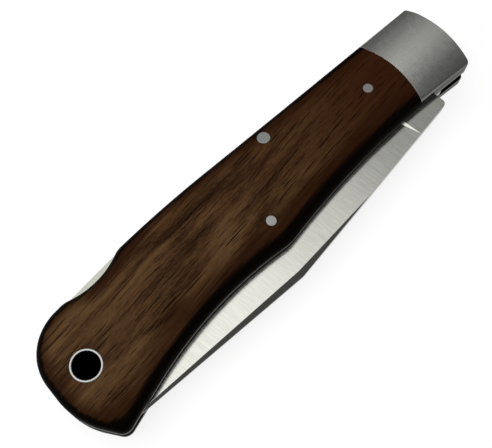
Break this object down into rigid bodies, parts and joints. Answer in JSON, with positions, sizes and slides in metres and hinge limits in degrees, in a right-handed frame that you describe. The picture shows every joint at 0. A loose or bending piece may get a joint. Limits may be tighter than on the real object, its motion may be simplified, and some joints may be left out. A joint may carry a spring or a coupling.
{
  "type": "folding pocket knife",
  "caption": "Closed folding lockback knife: clip point blade, walnut scales on steel liners, steel bolsters, flush pins, a thumb scoop over the lock bar and a lanyard tube in the butt.",
  "frame": {"origin": "on the axis of the lanyard bore in the butt, at half the knife's thickness", "axes": "+X along the handle from the butt to the bolster, +Y to the spine with the lock bar, +Z along the bores, through the thickness, to the near side of the picture"},
  "size_m": [0.1228, 0.033, 0.0126],
  "materials": {
    "blade_steel": "satin, brushed across the blade",
    "bolster_steel": "satin",
    "liner_steel": "brushed",
    "lock_steel": "brushed",
    "pin_steel": "satin",
    "tube_steel": "polished",
    "walnut": "oiled, satin"
  },
  "bodies": {
    "handle": {"bolster_near": "bolster_steel", "bolster_far": "bolster_steel", "liner_near": "liner_steel", "liner_far": "liner_steel", "scale_near": "walnut", "scale_far": "walnut", "lock_spring": "lock_steel", "butt_spacer": "liner_steel", "lanyard_tube": "tube_steel", "pivot_pin": "pin_steel", "lock_pin": "pin_steel", "spring_pin": "pin_steel", "spacer_pin_upper": "pin_steel", "spacer_pin_lower": "pin_steel", "scale_pin_front_near": "pin_steel", "scale_pin_front_far": "pin_steel", "scale_pin_mid_near": "pin_steel", "scale_pin_mid_far": "pin_steel", "bolster_pin_upper_near": "pin_steel", "bolster_pin_upper_far": "pin_steel", "bolster_pin_lower_near": "pin_steel", "bolster_pin_lower_far": "pin_steel"},
    "blade": {"blade": "blade_steel"},
    "lock_bar": {"lock_bar": "lock_steel"}
  },
  "joints": [
    {"name": "blade_pivot", "type": "hinge", "parent": "handle", "child": "blade", "pos_m": [0.105, -0.0019, 0], "axis": [0, 0, 1], "range_deg": [0, 171]},
    {"name": "lock_bar_rock", "type": "hinge", "parent": "handle", "child": "lock_bar", "pos_m": [0.0633, 0.00977, 0], "axis": [0, 0, -1], "range_deg": [-1.2, 1.37], "stiffness_Nm_per_rad": 3, "springref_deg": 1.72}
  ]
}
